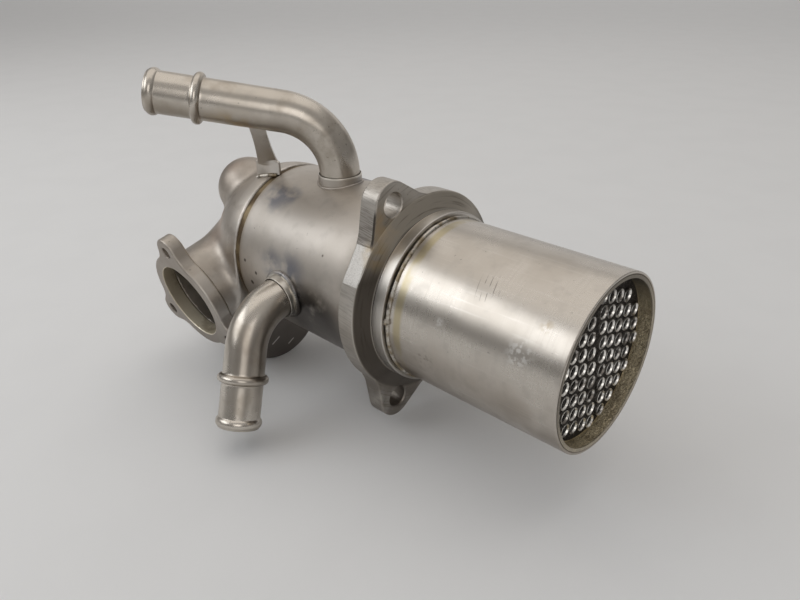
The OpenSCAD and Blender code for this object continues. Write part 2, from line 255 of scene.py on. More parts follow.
def ear_field(q, angle, root_r, reach, r):
    """Outline of an ear that runs from a disc's edge to a round tip."""
    c, s = math.cos(angle), math.sin(angle)
    q = np.stack([q[:, 0] * c + q[:, 1] * s, np.abs(-q[:, 0] * s + q[:, 1] * c)], 1)
    edge = root_r * np.array([math.cos(EAR_ROOT), math.sin(EAR_ROOT)])
    d = math.hypot(edge[0] - reach, edge[1])
    a = math.atan2(edge[1], edge[0] - reach) - math.acos(r / d)
    tip = np.array([reach + r * math.cos(a), r * math.sin(a)])
    body = polygon_field(q, [[0, -1], [reach, -1], tip, edge, [0, 1]])
    return np.minimum(body, np.hypot(q[:, 0] - reach, q[:, 1]) - r)


def eared_disc(q, disc_r, angles, reach, tip_r, blend):
    flat = np.hypot(q[:, 0], q[:, 1]) - disc_r
    for a in angles:
        flat = smooth_min(flat, ear_field(q, a, disc_r, reach, tip_r), blend)
    return flat


def slope(field, p, e=0.02):
    """Unit direction in which a field grows, at each point."""
    out = np.empty_like(p)
    for k in range(p.shape[1]):
        d = np.zeros(p.shape[1])
        d[k] = e
        out[:, k] = (field(p + d) - field(p - d)) / (2 * e)
    return out / np.maximum(np.linalg.norm(out, axis=1), 1e-9)[:, None]


# Meshes
def circle(count):
    """Angles of evenly spaced points round a circle."""
    return np.linspace(0, 2 * math.pi, count, endpoint=False)


def on_circle(angles):
    """Points of the unit circle at the given angles."""
    return np.stack([np.cos(angles), np.sin(angles)], 1)


def spokes(angles, one, two):
    """Directions at the given angles from one towards two."""
    return np.cos(angles)[:, None] * one + np.sin(angles)[:, None] * two


def linked(name, data):
    """New object in the scene."""
    obj = bpy.data.objects.new(name, data)
    scene.collection.objects.link(obj)
    return obj


def mesh_object(name, verts, faces, normals):
    """Mesh in millimetres with one given normal per vertex; vertices at the same place are joined."""
    verts = np.asarray(verts, float)
    places = np.round(verts * JOIN_STEPS).astype(np.int64)
    _, first, index = np.unique(places, axis=0, return_index=True, return_inverse=True)
    index = index.reshape(-1)
    kept = []
    turned = []
    for face in faces:
        joined = [int(index[i]) for i in face]
        if len(set(joined)) == len(joined):
            kept.append(joined)
            turned.extend(face)
    mesh = bpy.data.meshes.new(name)
    mesh.from_pydata((verts[first] * MM).tolist(), [], kept)
    mesh.shade_smooth()
    mesh.normals_split_custom_set(np.asarray(normals, float)[turned].tolist())
    return linked(name, mesh)


def halves(axis):
    """Index pair that sets each grid point beside the next one along an axis."""
    first = [slice(None)] * 3
    second = [slice(None)] * 3
    first[axis], second[axis] = slice(0, -1), slice(1, None)
    return tuple(first), tuple(second)


def surface(name, field, corners, step, pulls=5):
    """Closed quad mesh of a field's zero level: surface nets, then pulled on to the level."""
    low, high = np.asarray(corners, float)
    axes = [np.arange(a, b + step, step) for a, b in zip(low, high)]
    shape = tuple(len(a) for a in axes)
    values = np.empty(shape)
    yz = np.stack(np.meshgrid(axes[1], axes[2], indexing="ij"), -1).reshape(-1, 2)
    for i, x in enumerate(axes[0]):
        values[i] = field(np.column_stack([np.full(len(yz), x), yz])).reshape(shape[1:])
    inside = values < 0
    cells = tuple(n - 1 for n in shape)
    total = np.zeros(cells + (3,))
    count = np.zeros(cells)
    for axis in range(3):
        first, second = halves(axis)
        va, vb = values[first], values[second]
        cross = inside[first] != inside[second]
        t = np.where(cross, va / np.where(cross, va - vb, 1), 0)
        others = [k for k in range(3) if k != axis]
        for u in (0, 1):
            for w in (0, 1):
                pick = [slice(None)] * 3
                pick[others[0]] = slice(u, cells[others[0]] + u)
                pick[others[1]] = slice(w, cells[others[1]] + w)
                hit = cross[tuple(pick)]
                count += hit
                total[..., axis] += np.where(hit, t[tuple(pick)], 0)
                total[..., others[0]] += np.where(hit, u, 0)
                total[..., others[1]] += np.where(hit, w, 0)
    live = np.argwhere(count > 0)
    number = np.full(cells, -1)
    number[tuple(live.T)] = np.arange(len(live))
    points = low + step * (live + total[tuple(live.T)] / count[tuple(live.T)][:, None])
    faces = []
    for axis, (b, c) in enumerate([(1, 2), (2, 0), (0, 1)]):
        first, second = halves(axis)
        edges = np.argwhere(inside[first] != inside[second])
        corner = []
        for du, dw in ((-1, -1), (0, -1), (0, 0), (-1, 0)):
            e = edges.copy()
            e[:, b] += du
            e[:, c] += dw
            corner.append(number[tuple(e.T)])
        quad = np.stack(corner, 1)
        flip = ~inside[first][tuple(edges.T)]
        quad[flip] = quad[flip][:, ::-1]
        faces.append(quad)
    for _ in range(pulls):
        pull = np.clip(field(points), -0.4 * step, 0.4 * step)
        points = points - slope(field, points) * pull[:, None]
    return mesh_object(name, points, np.concatenate(faces).tolist(), slope(field, points))


def round_corners(profile, r, steps=5):
    """Rounds the corners of a closed profile; a third number in a point is that corner's own radius."""
    pts = np.array([p[:2] for p in profile], float)
    own = [p[2] if len(p) > 2 else r for p in profile]
    out = []
    for before, at, after, c in zip(np.roll(pts, 1, axis=0), pts, np.roll(pts, -1, axis=0), own):
        u, v = before - at, after - at
        lu, lv = np.linalg.norm(u), np.linalg.norm(v)
        cut = min(c, lu * 0.45, lv * 0.45)
        a, b = at + u / lu * cut, at + v / lv * cut
        for t in np.linspace(0, 1, steps + 1):
            out.append((1 - t) ** 2 * a + 2 * t * (1 - t) * at + t * t * b)
    return np.array(out)


def ring_skin(profile, at, segs):
    """Closed skin of a hollow round bar: profile gives (height, radius) all round its wall.

    at(height) gives the centre, the axis and two cross directions there.
    """
    profile = np.asarray(profile, float)
    step = np.roll(profile, -1, axis=0) - profile
    lean = np.stack([-step[:, 1], step[:, 0]], 1)
    lean = lean + np.roll(lean, 1, axis=0)
    lean /= np.maximum(np.linalg.norm(lean, axis=1), 1e-9)[:, None]
    a = circle(segs)
    verts, normals = [], []
    for (s, r), (axial, radial) in zip(profile, lean):
        centre, axis, one, two = at(s)
        spoke = spokes(a, one, two)
        verts.append(centre + r * spoke)
        normals.append(radial * spoke + axial * axis)
    n = len(profile)
    k = np.arange(segs)
    m = (k + 1) % segs
    faces = []
    for i in range(n):
        here, there = i * segs, (i + 1) % n * segs
        faces.append(np.stack([here + k, here + m, there + m, there + k], 1))
    return np.concatenate(verts), np.concatenate(faces), np.concatenate(normals)


def rings(name, profile, at, segs):
    verts, faces, normals = ring_skin(profile, at, segs)
    return mesh_object(name, verts, faces.tolist(), normals)


def lathe(name, profile, segs=288):
    """Revolves a closed profile of (x, radius), given forward along the outside, about the can's axis."""
    return rings(name, profile, lambda s: (s * AXIS, AXIS, ACROSS, UP), segs)


def bead(name, path, r, closed, sides=10):
    """Weld bead along a path of points, its radius rippled like laid drops."""
    path = np.asarray(path, float)
    n = len(path)
    ahead = np.roll(path, -1, axis=0) - np.roll(path, 1, axis=0)
    if not closed:
        ahead[0], ahead[-1] = path[1] - path[0], path[-1] - path[-2]
    ahead /= np.linalg.norm(ahead, axis=1)[:, None]
    drops = np.abs(np.sin(np.arange(n) * math.pi / 5 + rng.normal(0, 0.25, n)))
    slow = np.convolve(rng.normal(0, 1, n + 40), np.ones(41) / 41, "valid")
    size = r * (0.82 + 0.26 * drops + 0.5 * slow)
    if not closed:
        from_end = np.minimum(np.arange(n), n - 1 - np.arange(n))
        size *= np.sqrt(np.clip(from_end / 3, 0.02, 1))
    a = circle(sides)
    askew = [0.31, 0.57, 0.76]
    verts, normals = [], []
    for p, d, w in zip(path, ahead, size):
        one = np.cross(d, askew)
        one /= np.linalg.norm(one)
        two = np.cross(d, one)
        spoke = spokes(a, one, two)
        verts.append(p + w * spoke)
        normals.append(spoke)
    verts = np.concatenate(verts)
    normals = np.concatenate(normals)
    faces = []
    for i in range(n if closed else n - 1):
        j = (i + 1) % n
        turn = 0
        if closed and j == 0:
            turn = int(np.argmin(np.linalg.norm(verts[:sides] - verts[i * sides], axis=1)))
        for k in range(sides):
            m = (k + 1) % sides
            there = (j * sides + (m + turn) % sides, j * sides + (k + turn) % sides)
            faces.append((i * sides + k, i * sides + m, *there))
    if not closed:
        faces.append(tuple(range(sides))[::-1])
        faces.append(tuple(range((n - 1) * sides, n * sides)))
    return mesh_object(name, verts, faces, normals)


def rounding(r, half):
    """Quarter rounds at both faces of a plate: inset, height and direction of each loop."""
    turn = np.linspace(0, math.pi / 2, 7)
    skin = [(r * (1 - math.sin(t)), half - r * (1 - math.cos(t)), math.sin(t), math.cos(t)) for t in turn]
    return skin + [(inset, -h, s, -c) for inset, h, s, c in skin[::-1]]


def eared_plate(name, field, bore, holes, hole_r, chamfer, thick, edge, origin, one, two, axis):
    """Plate with rounded edges, a round bore and chamfered holes; field gives its outline."""
    a = circle(1080)
    rays = on_circle(a)
    low, high = np.full(len(a), bore), np.full(len(a), 2.0 * bore + 30)
    for _ in range(36):
        mid = (low + high) / 2
        within = field(rays * mid[:, None]) < 0
        low, high = np.where(within, mid, low), np.where(within, high, mid)
    outline = rays * low[:, None]
    outward = slope(field, outline)
    verts, normals, faces = [], [], []
    half = thick / 2
    bore_edge = 0.6

    def put(flat, height, facing, rise):
        """Adds a loop of points; returns their numbers."""
        start = sum(len(v) for v in verts)
        height, rise = np.broadcast_to(height, len(flat)), np.broadcast_to(rise, len(flat))
        verts.append(origin + flat[:, :1] * one + flat[:, 1:] * two + height[:, None] * axis)
        normals.append(facing[:, :1] * one + facing[:, 1:] * two + rise[:, None] * axis)
        return np.arange(start, start + len(flat))

    def wall(loops):
        for p, q in zip(loops, loops[1:]):
            faces.extend(np.stack([q, np.roll(q, -1), np.roll(p, -1), p], 1).tolist())

    wall([put(outline - i * outward, h, s * outward, c) for i, h, s, c in rounding(edge, half)])
    rim = on_circle(-a[::5])
    wall([put((bore + i) * rim, h, -s * rim, c) for i, h, s, c in rounding(bore_edge, half)])
    small = on_circle(-circle(60))
    slant = math.sqrt(0.5)
    for hole in holes:
        for r, h, next_r, next_h, s, c in (
                (hole_r + chamfer, half, hole_r, half - chamfer, slant, slant),
                (hole_r, half - chamfer, hole_r, chamfer - half, 1, 0),
                (hole_r, chamfer - half, hole_r + chamfer, -half, slant, -slant)):
            wall([put(hole + r * small, h, -s * small, c), put(hole + next_r * small, next_h, -s * small, c)])
    loops = [outline - edge * outward, (bore + bore_edge) * rim]
    loops += [h + (hole_r + chamfer) * small for h in holes]
    flat = np.concatenate(loops)
    cells = tessellate_polygon([[Vector((*q, 0)) for q in loop] for loop in loops])
    for side in (1, -1):
        numbers = put(flat, side * half, np.zeros_like(flat), side)
        for tri in cells:
            u, v = flat[tri[1]] - flat[tri[0]], flat[tri[2]] - flat[tri[0]]
            ordered = tri if (u[0] * v[1] - u[1] * v[0]) * side > 0 else tri[::-1]
            faces.append([int(numbers[i]) for i in ordered])
    return mesh_object(name, np.concatenate(verts), faces, np.concatenate(normals))


def pipe_outer_r(back):
    """Outer radius of a hose pipe, at a distance back from its end."""
    d = abs(STOP_BACK - back)
    if d < STOP_R:
        r = PIPE_R + STOP_LIFT + math.sqrt(STOP_R ** 2 - d * d)
    else:
        r = PIPE_R + max(STOP_FOOT - d, 0) ** 2 * STOP_FLARE
    d = abs(BARB_BACK - back)
    if d < BARB_HALF:
        r = max(r, BARB_CREST_R - BARB_R + math.sqrt(BARB_R ** 2 - d * d))
    return r


def bent_pipe(name, base, out_dir, heading, bend_r, bend, run, segs=80):
    """Hose pipe: straight root, one bend, a run with a bead and a rounded barb, hollow."""
    start = SHELL_BORE_R
    rise = NECK_TOP - start
    length = rise + bend_r * bend + run
    bore_r = PIPE_R - PIPE_WALL
    side = np.cross(out_dir, heading)

    def at(s):
        t = min(max(s - rise, 0) / bend_r, bend)
        axis = out_dir * math.cos(t) + heading * math.sin(t)
        p = base + out_dir * (start + min(s, rise) + bend_r * math.sin(t))
        p = p + heading * bend_r * (1 - math.cos(t))
        return p + axis * max(s - rise - bend_r * bend, 0), axis, side, np.cross(axis, side)

    # Rings stand close together only at the bead and the barb
    stretches = ((length, 30, 80), (29.7, 19, 56), (18, 7, 10), (6.6, PIPE_TIP, 34))
    stops = [length - back for first, last, count in stretches for back in np.linspace(first, last, count)]
    profile = [(s, pipe_outer_r(length - s)) for s in stops]
    for t in np.linspace(0.2, math.pi / 2, 6):
        profile.append((length - PIPE_TIP * (1 - math.sin(t)), PIPE_R - PIPE_TIP_R * (1 - math.cos(t))))
    profile += [(length - 0.1, bore_r + 0.2), (length - 0.5, bore_r)]
    outside = len(profile)
    profile += [(s, bore_r) for s in stops[::-3] if s < length - 1]
    obj = rings(name, profile, at, segs)
    inner = np.zeros(len(obj.data.polygons), np.int32)
    inner[outside * segs:] = 1
    obj.data.polygons.foreach_set("material_index", inner)
    return obj


# Pieces
def keep(obj, slot, *replaced):
    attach(obj, "root")
    if replaced:
        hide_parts(*replaced)
    return obj


# Can and its weld
def round_can(x, r, angle):
    """Points at the given angles round the can's axis."""
    return np.column_stack([x + 0 * angle, r * on_circle(angle)])


can = keep(lathe("can_body", round_corners([
    (CAN_TAIL, SEAT_R), (COLLAR_FRONT, SEAT_R, 0.05), (COLLAR_FRONT, CAN_R, 0.05), (0, CAN_R, 0.5),
    (0, CAN_BORE_R, 0.5), (CAN_TAIL, CAN_BORE_R)], 0.3)), "polished_can", "core_can")
turn = circle(1100)
wander = CAN_WELD_WANDER * np.sin(9 * turn) * np.sin(4 * turn)
can_weld_path = round_can(CAN_WELD_X + wander, CAN_R, turn)
can_weld = keep(bead("can_weld", can_weld_path, CAN_WELD_R, True), "machined_flange")
turn = CAN_WELD_END_AT + np.linspace(-CAN_WELD_END_HALF, CAN_WELD_END_HALF, 14)
can_weld_end_path = round_can(CAN_WELD_END_X, CAN_R + 0.2, turn)
can_weld_end = keep(bead("can_weld_end", can_weld_end_path, CAN_WELD_END_R, False), "machined_flange")


# Mid flange: the eared plate, and the cone and collar in front of it
def flange_outline(q):
    flat = eared_disc(q, DISC_R, EAR_ANGLES, EAR_REACH, EAR_TIP_R, 3.0)
    pad = q[:, 0] * math.cos(PAD_ANGLE) + q[:, 1] * math.sin(PAD_ANGLE) - PAD_REACH
    side = np.abs(-q[:, 0] * math.sin(PAD_ANGLE) + q[:, 1] * math.cos(PAD_ANGLE)) - PAD_HALF
    return smooth_max(flat, np.minimum(pad, -side), 0.3)


ear_places = EAR_REACH * on_circle(EAR_ANGLES)
flange = keep(eared_plate(
    "mid_flange", flange_outline, FLANGE_BORE_R, ear_places, EAR_HOLE_R, EAR_CHAMFER,
    EAR_FACE - FLANGE_BACK, FLANGE_EDGE,
    (EAR_FACE + FLANGE_BACK) / 2 * AXIS, ACROSS, UP, AXIS), "machined_flange", "mounting_flange")
nose = keep(lathe("flange_nose", round_corners([
    (CAN_TAIL, SLEEVE_R), (EAR_FACE - NOSE_SINK, SLEEVE_R), (EAR_FACE - NOSE_SINK, CONE_R),
    (EAR_FACE, CONE_R), (CONE_FOOT, CONE_FOOT_R, 0.2), (COLLAR_BACK, CONE_FOOT_R, 0.1),
    (COLLAR_BACK, COLLAR_R, 0.3), (COLLAR_FRONT, COLLAR_R, 0.6),
    (COLLAR_FRONT, FLANGE_BORE_R), (CAN_TAIL, FLANGE_BORE_R)], 0.25)),
    "machined_flange")

# Coolant jacket
jacket = keep(lathe("jacket", round_corners([
    (SHELL_BACK, SHELL_R, 0.6), (FLANGE_BACK, SHELL_R, 0.2),
    (FLANGE_BACK, SHELL_BORE_R), (SHELL_BACK, SHELL_BORE_R)], 0.2)), "satin_jacket", "coolant_shell")


def neck(name, x, out_dir, weld_r):
    """Drawn collar round a pipe's root and the weld at its foot."""
    base = x * AXIS
    cross = np.cross(out_dir, AXIS)
    bore_r = PIPE_R + NECK_GAP
    collar = rings(name, round_corners([
        (NECK_FOOT, NECK_R), (NECK_TOP, NECK_R, 0.5), (NECK_TOP, bore_r, 0.35), (NECK_FOOT, bore_r)], 0.1),
        lambda s: (base + s * out_dir, out_dir, AXIS, cross), 96)
    a = circle(330)
    reach = NECK_R + 0.3
    foot = np.sqrt(SHELL_R ** 2 - (reach * np.sin(a)) ** 2) + 0.1
    path = base + reach * spokes(a, AXIS, cross) + foot[:, None] * out_dir
    return [keep(collar, "satin_jacket"), keep(bead(name + "_weld", path, weld_r, True), "satin_jacket")]


necks = neck("upper_neck", UPPER_X, UP, UPPER_WELD_R)
necks += neck("lower_neck", LOWER_X, LOWER_DIR, LOWER_WELD_R)

# Coolant pipes
upper_pipe = keep(bent_pipe("upper_pipe", UPPER_X * AXIS, UP, UPPER_HEADING,
                            UPPER_BEND_R, UPPER_BEND, UPPER_RUN), "bright_pipe", "upper_coolant_pipe")
lower_pipe = keep(bent_pipe("lower_pipe", LOWER_X * AXIS, LOWER_DIR, LOWER_HEADING,
                            LOWER_BEND_R, LOWER_BEND, LOWER_RUN), "bright_pipe", "lower_coolant_pipe")


# Header
def hood_outer(p):
    s, w = along(p, PORT_ROOT, PORT_DIR)
    stub = np.maximum(w - STUB_R, STUB_START - s)
    body = smooth_min(ball(p, DOME, DOME_R), ball(p, PORT_ROOT + SWELL_AT * PORT_DIR, SWELL_R), 7)
    body = smooth_min(body, stub, 8)
    body = smooth_min(body, ball(p, BOSS, BOSS_R), 4)
    return smooth_min(body, ball(p, POCKET, POCKET_R), 5)


def hood_field(p):
    outer = hood_outer(p)
    s, w = along(p, PORT_ROOT, PORT_DIR)
    ahead = p[:, 0] - HOOD_FRONT
    body = smooth_max(outer, ahead, 0.7)
    body = smooth_max(body, s - (PORT_REACH - GAS_T), 0.3)
    hollow = np.maximum(outer + HOOD_WALL, ahead + HOOD_WALL)
    mouth = np.maximum(np.hypot(p[:, 1], p[:, 2]) - MOUTH_R, np.abs(ahead) - MOUTH_HALF)
    hollow = np.minimum(np.minimum(hollow, mouth), np.maximum(w - GAS_BORE_R, GAS_BORE_START - s))
    return smooth_max(body, -hollow, 0.4)


header = keep(surface("header", hood_field, HOOD_BOX, 0.95), "satin_header", "header_hood")


# Gas flange and its weld
def gas_outline(q):
    return eared_disc(q, GAS_R, GAS_ANGLES, GAS_EAR_REACH, GAS_TIP_R, 4.0)


gas_places = GAS_EAR_REACH * on_circle(GAS_ANGLES)
gas_flange = keep(eared_plate(
    "outlet_flange", gas_outline, GAS_BORE_R, gas_places, GAS_HOLE_R, GAS_CHAMFER, GAS_T, GAS_EDGE,
    PORT_ROOT + (PORT_REACH - GAS_T / 2) * PORT_DIR, AXIS, PORT_UP, PORT_DIR), "satin_header", "gas_flange")
weld_centre = PORT_ROOT + (PORT_REACH - GAS_T - 0.2) * PORT_DIR
gas_weld_path = weld_centre + (STUB_R + 0.3) * spokes(circle(560), AXIS, PORT_UP)
gas_weld = keep(bead("outlet_weld", gas_weld_path, GAS_WELD_R, True), "satin_header")

# Strap from the upper pipe's run to the dome, with its foot's welds
run_dir = math.sin(UPPER_BEND) * UPPER_HEADING + math.cos(UPPER_BEND) * UP
run_rise = NECK_TOP + UPPER_BEND_R * math.sin(UPPER_BEND)
run_start = UPPER_X * AXIS + run_rise * UP + UPPER_BEND_R * (1 - math.cos(UPPER_BEND)) * UPPER_HEADING


def bracket_field(p):
    q = p - UPPER_X * AXIS
    lean = STRAP_LEAN * np.clip((STRAP_TOP[1] - q[:, 2]) / (STRAP_TOP[1] - KNEE[1]), 0, 1)
    local = np.stack([q @ UPPER_HEADING - STRAP_AT + lean, q @ STRAP_SIDE, q[:, 2]], 1)
    run = KNEE - STRAP_TOP
    length = np.linalg.norm(run)
    run = run / length
    t = (local[:, 1:] - STRAP_TOP) @ run
    lift = (local[:, 1:] - STRAP_TOP) @ np.array([-run[1], run[0]])
    share = np.clip(t / length, 0, 1)
    width = STRAP_WAIST + STRAP_FOOT_FLARE * share ** 3 + STRAP_TOP_FLARE * (1 - share) ** 3
    even = np.stack([local[:, 0] / width * STRAP_HALF, lift, t - length / 2], 1)
    strap = box(even, (STRAP_HALF, STRAP_HALF_T, length / 2), STRAP_EDGE)
    c, s = math.cos(FOOT_TURN), math.sin(FOOT_TURN)
    u = local[:, 0] * c + (local[:, 1] - KNEE[0]) * s
    v = -local[:, 0] * s + (local[:, 1] - KNEE[0]) * c
    foot = box(np.stack([u, v, local[:, 2] - KNEE[1] + FOOT_DROP], 1), FOOT_HALF, STRAP_EDGE)
    body = smooth_min(strap, foot, 1.6)
    _, from_pipe = along(p, run_start, run_dir)
    return np.maximum(np.maximum(body, PIPE_R + 0.05 - from_pipe), -ball(p, DOME, DOME_R + 0.05))


bracket = keep(surface("bracket", bracket_field, STRAP_BOX, 0.45), "satin_header", "pipe_bracket")
foot_at = UPPER_X * AXIS + (STRAP_AT - STRAP_LEAN) * UPPER_HEADING + KNEE[0] * STRAP_SIDE
foot_line = math.cos(FOOT_TURN) * UPPER_HEADING + math.sin(FOOT_TURN) * STRAP_SIDE
foot_out = np.cross(foot_line, UP)


def on_dome(p, lift):
    """Point on the header's dome, or a little above it, straight above or below the given one."""
    x, y, _ = p - DOME
    return np.array([p[0], p[1], math.sqrt(DOME_R ** 2 - x ** 2 - y ** 2) + lift])


def foot_weld(name, out, lift, first, last, count, r):
    """Short bead beside the strap's foot, from first to last along it."""
    steps = np.linspace(first, last, count)
    path = [on_dome(foot_at + t * foot_line + out * foot_out, lift) for t in steps]
    return keep(bead(name, path, r, False), "satin_header")


foot_welds = [
    foot_weld("bracket_weld_1", 1.3, 0.2, -5.5, 7.2, 44, 1.0),
    foot_weld("bracket_weld_2", -1.3, 0.2, -5.5, 7.2, 44, 1.0),
    foot_weld("bracket_weld_3", 0.9, 0.3, -6.6, -4.0, 12, 1.5)]


# Gas tubes
def tube_places():
    """Centres of the tubes that fit in the plate, row by row on both sides of the lane."""
    places = []
    for side in (-1, 1):
        for row in range(TUBE_ROWS):
            offset = FIRST_ROW + row * ROW_GAP
            for k in range(-6, 7):
                step = ROW_SHIFT + TUBE_PITCH * (k + row % 2 / 2)
                if math.hypot(offset, step) <= TUBE_FIELD_R:
                    places.append((-step * math.cos(LANE) + side * offset * math.sin(LANE),
                                   -step * math.sin(LANE) - side * offset * math.cos(LANE)))
    return places


def tube_bundle():
    """All tubes as one mesh, with the outside of each as its second material."""
    sooty_rows = 4
    verts, faces, normals, sooty = [], [], [], []
    for y, z in tube_places():
        front = TUBE_FRONT + rng.uniform(-TUBE_SPREAD, 0.0)
        skin = ring_skin([
            (TUBE_BACK, TUBE_R), (-6.4, TUBE_R), (front - 0.3, TUBE_R + 0.05), (front - 0.1, TUBE_R + 0.02),
            (front, TUBE_R - 0.05), (front - 0.05, TUBE_R - 0.1), (front - 0.75, TUBE_BORE_R),
            (front - 0.8, TUBE_BORE_R - 0.02), (-12, TUBE_BORE_R), (TUBE_BACK, TUBE_BORE_R)],
            lambda s: (np.array([s, y, z]), AXIS, ACROSS, UP), TUBE_SEGS)
        sooty.append(np.arange(len(skin[1])) < sooty_rows * TUBE_SEGS)
        faces.append(skin[1] + sum(len(v) for v in verts))
        verts.append(skin[0])
        normals.append(skin[2])
    faces = np.concatenate(faces).tolist()
    obj = mesh_object("tube_bundle", np.concatenate(verts), faces, np.concatenate(normals))
    obj.data.polygons.foreach_set("material_index", np.concatenate(sooty).astype(np.int32))
    return obj


row_numbers = range(1, TUBE_ROWS + 1)
tube_nodes = ["gas_tubes_%s_%d" % (side, row) for side in ("left", "right") for row in row_numbers]
bundle = keep(tube_bundle(), "gas_tube", *tube_nodes)


# Finishes
def set_range(node, *ends):
    """Sets what a map range node maps from and to."""
    for key, end in zip(("From Min", "From Max", "To Min", "To Max"), ends):
        node.inputs[key].default_value = end


class Finish:
    """Material made of nodes; places and lengths are in millimetres on the object."""

    def __init__(self, name, colour, rough, metallic=1.0):
        self.material = bpy.data.materials.new(name)
        self.material.use_nodes = True
        self.tree = self.material.node_tree
        self.shader = self.tree.nodes["Principled BSDF"]
        self.shader.inputs["Metallic"].default_value = metallic
        self.colour = (*colour, 1)
        self.rough = rough
        self.height = None
        scale = self.add("ShaderNodeVectorMath", operation="SCALE")
        scale.inputs["Scale"].default_value = 1 / MM
        self.plug(scale.inputs[0], self.add("ShaderNodeTexCoord").outputs["Object"])
        self.place = scale.outputs[0]
        split = self.add("ShaderNodeSeparateXYZ")
        self.plug(split.inputs[0], self.place)
        self.x, self.y, self.z = split.outputs
        self.r = self.math("SQRT", self.math("ADD", self.times(self.y, self.y), self.times(self.z, self.z)))
        self.angle = self.math("ARCTAN2", self.z, self.y)
        facing = self.add("ShaderNodeSeparateXYZ")
        self.plug(facing.inputs[0], self.add("ShaderNodeNewGeometry").outputs["Normal"])
        # Faces that point down, for painted shade and for stains there
        self.under = self.fade(facing.outputs["Z"], 0.15, -0.75)

    def add(self, kind, **settings):
        node = self.tree.nodes.new(kind)
        for key, value in settings.items():
            setattr(node, key, value)
        return node

    def plug(self, socket, value):
        if isinstance(value, bpy.types.NodeSocket):
            self.tree.links.new(value, socket)
        else:
            socket.default_value = value

    def math(self, operation, a, b=0.0):
        node = self.add("ShaderNodeMath", operation=operation)
        self.plug(node.inputs[0], a)
        self.plug(node.inputs[1], b)
        return node.outputs[0]

    def times(self, *masks):
        out = masks[0]
        for mask in masks[1:]:
            out = self.math("MULTIPLY", out, mask)
        return out

    def vector_math(self, operation, a, b=(0, 0, 0)):
        node = self.add("ShaderNodeVectorMath", operation=operation)
        self.plug(node.inputs[0], a)
        node.inputs[1].default_value = tuple(map(float, b))
        return node

    def vector(self, x, y, z):
        node = self.add("ShaderNodeCombineXYZ")
        for socket, value in zip(node.inputs, (x, y, z)):
            self.plug(socket, value)
        return node.outputs[0]

    def noise(self, scale, detail=3.0, at=None):
        node = self.add("ShaderNodeTexNoise")
        self.plug(node.inputs["Vector"], self.place if at is None else at)
        node.inputs["Scale"].default_value = scale
        node.inputs["Detail"].default_value = detail
        return node.outputs[0]

    def fade(self, value, low, high):
        """0 where value is at low, 1 where it is at high, smooth between them."""
        node = self.add("ShaderNodeMapRange", interpolation_type="SMOOTHSTEP")
        self.plug(node.inputs["Value"], value)
        set_range(node, *((low, high, 0.0, 1.0) if low < high else (high, low, 1.0, 0.0)))
        return node.outputs[0]

    def clouds(self, scale, detail, low, high):
        """Noise as a mask: 0 where it is below low, 1 where it is above high."""
        return self.fade(self.noise(scale, detail), low, high)

    def band(self, value, centre, outer, inner):
        """1 where value is within inner of the centre, 0 where it is further than outer."""
        return self.fade(self.math("ABSOLUTE", self.math("SUBTRACT", value, centre)), outer, inner)

    def near(self, point, reach, soft):
        """1 round a point, fading out over soft on both sides of reach."""
        distance = self.vector_math("DISTANCE", self.place, point).outputs["Value"]
        return self.fade(distance, reach + soft, reach - soft)

    def height_along(self, base, direction):
        """Height along an axis and distance from it, as in the fields above."""
        shift = self.vector_math("SUBTRACT", self.place, base).outputs[0]
        height = self.vector_math("DOT_PRODUCT", shift, direction)
        cross = self.vector_math("CROSS_PRODUCT", shift, direction).outputs[0]
        return height.outputs["Value"], self.vector_math("LENGTH", cross).outputs["Value"]

    def layer(self, colour, rough, *masks):
        """Lays a colour, and a roughness unless it is None, over what is there where all masks are 1."""
        amount = self.times(*masks)
        node = self.add("ShaderNodeMix", data_type="RGBA")
        self.plug(node.inputs[0], amount)
        self.plug(node.inputs[6], self.colour)
        self.plug(node.inputs[7], (*colour, 1))
        self.colour = node.outputs[2]
        if rough is not None:
            node = self.add("ShaderNodeMix", data_type="FLOAT")
            self.plug(node.inputs[0], amount)
            self.plug(node.inputs[2], self.rough)
            self.plug(node.inputs[3], rough)
            self.rough = node.outputs[0]

    def swell(self, height, size):
        """Adds a height, in units of size millimetres, to the bump."""
        height = self.times(height, size)
        self.height = height if self.height is None else self.math("ADD", self.height, height)

    def done(self):
        self.plug(self.shader.inputs["Base Color"], self.colour)
        self.plug(self.shader.inputs["Roughness"], self.rough)
        if self.height is not None:
            bump = self.add("ShaderNodeBump")
            bump.inputs["Distance"].default_value = MM
            self.plug(bump.inputs["Height"], self.height)
            self.plug(self.shader.inputs["Normal"], bump.outputs[0])
        return self.material


def steel(name, colour, rough, cloud, grain):
    """Worn stainless steel: clouds of handling, painted brown shade on the underside, fine grain and a few
    dark pits.
    """
    f = Finish(name, colour, rough)

    def toned(red, green, blue):
        return (colour[0] * red, colour[1] * green, colour[2] * blue)

    f.layer(toned(0.82, 0.8, 0.77), rough + 0.08, f.clouds(0.035, 5, 0.42, 0.63), cloud)
    f.layer(toned(0.72, 0.72, 0.72), rough + 0.1, f.clouds(0.16, 6, 0.5, 0.7), cloud * 0.6)
    # Painted shade: faces that point down are darker and browner, in clouds
    f.layer(toned(0.5, 0.45, 0.4), rough + 0.05, f.under, f.clouds(0.06, 4, 0.3, 0.6), 0.65)
    fine = f.noise(2.6, 3)
    f.layer(toned(0.8, 0.8, 0.8), rough + 0.07, f.fade(fine, 0.5, 0.75), 0.22)
    f.swell(fine, grain)
    f.layer(toned(0.35, 0.35, 0.35), 0.5, f.clouds(0.55, 2, 0.725, 0.77), 0.55)
    return f


